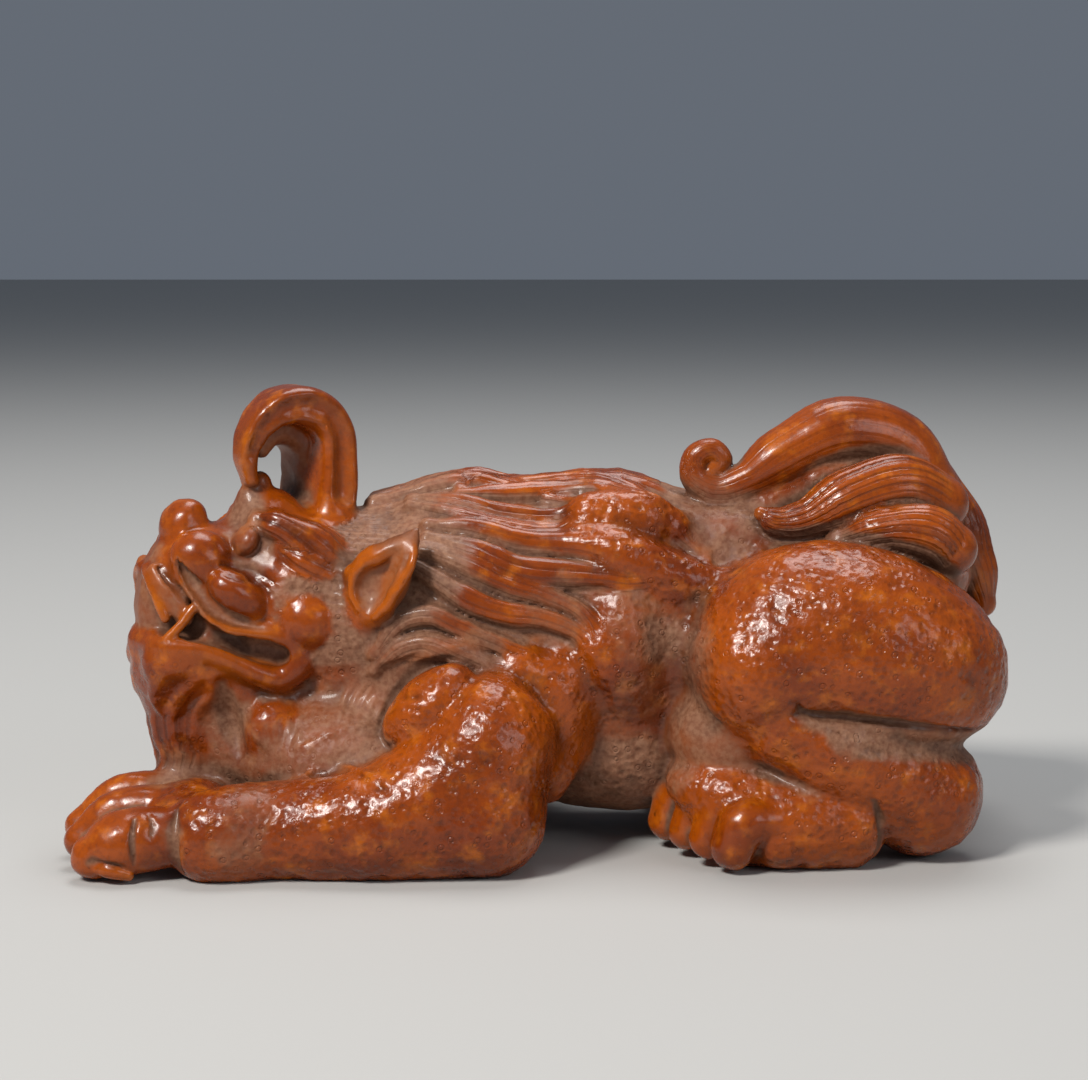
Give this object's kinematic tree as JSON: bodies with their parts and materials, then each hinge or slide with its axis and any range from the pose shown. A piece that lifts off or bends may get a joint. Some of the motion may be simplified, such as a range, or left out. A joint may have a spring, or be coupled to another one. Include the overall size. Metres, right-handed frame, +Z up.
{
  "type": "pixiu figure",
  "caption": "Carved wooden pixiu lying on folded legs, head thrown back, with a curled horn, open mouth, swept mane and curled tail; a hand piece that rests on its soles.",
  "frame": {"origin": "middle of the box round the figure, on the ground it rests on", "axes": "+Z up from the ground; +X from the head to the tail, along the figure's length; -Y is the animal's left side"},
  "size_m": [0.098, 0.052, 0.048],
  "materials": {
    "boxwood": "polished orange-brown boxwood, worn glossy on the high places, dull grey-brown dust in the hollows"
  },
  "bodies": {
    "root": {"pixiu_figure": "boxwood"}
  },
  "joints": []
}
